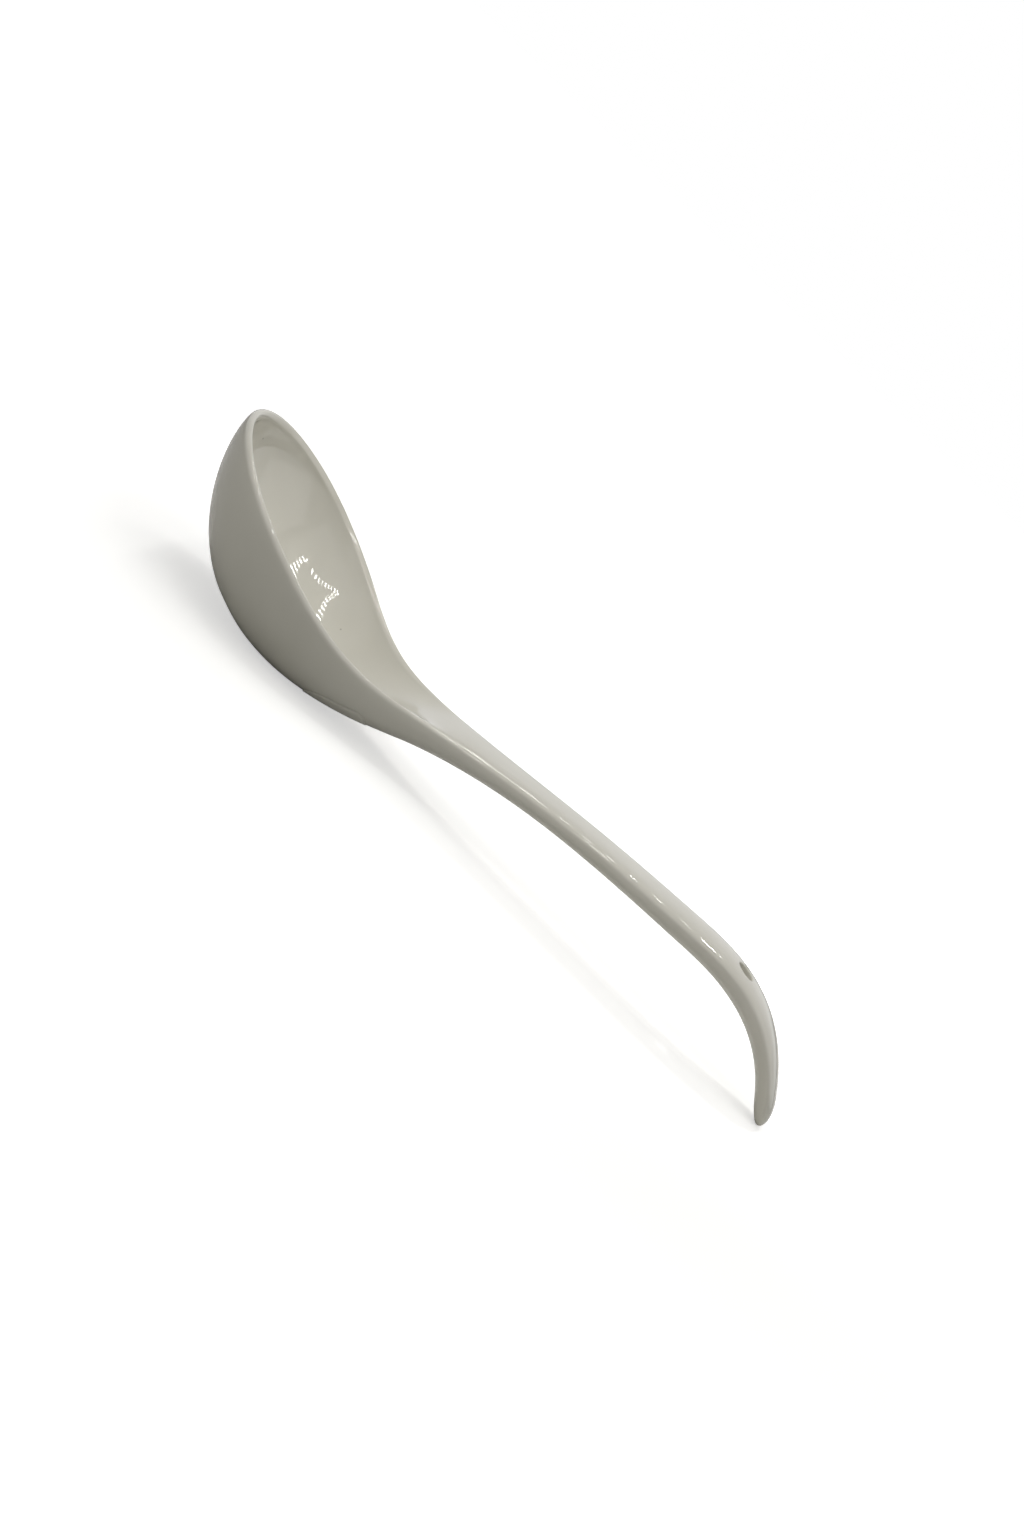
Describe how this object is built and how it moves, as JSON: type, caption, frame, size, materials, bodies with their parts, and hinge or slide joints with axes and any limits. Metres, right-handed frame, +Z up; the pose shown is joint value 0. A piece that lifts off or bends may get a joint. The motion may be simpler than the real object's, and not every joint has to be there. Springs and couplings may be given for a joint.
{
  "type": "curry spoon",
  "caption": "Deep round-bowled serving spoon with a bowed handle, a hooked end and a hanging hole, moulded in glossy white plastic for ladling curry, soup or sauce.",
  "frame": {"origin": "on the surface the spoon lies on, under the middle of its box", "axes": "+X from the bowl's lip towards the hooked end, +Z up out of the bowl, Y across the spoon with Y = 0 its middle plane"},
  "size_m": [0.264, 0.08, 0.0551],
  "materials": {
    "white_moulding": "glossy warm white, melamine-like",
    "label_film": "thin satin film, blank"
  },
  "bodies": {
    "root": {"bowl": "white_moulding", "neck": "white_moulding", "handle": "white_moulding", "hook": "white_moulding", "label": "label_film"}
  },
  "joints": []
}
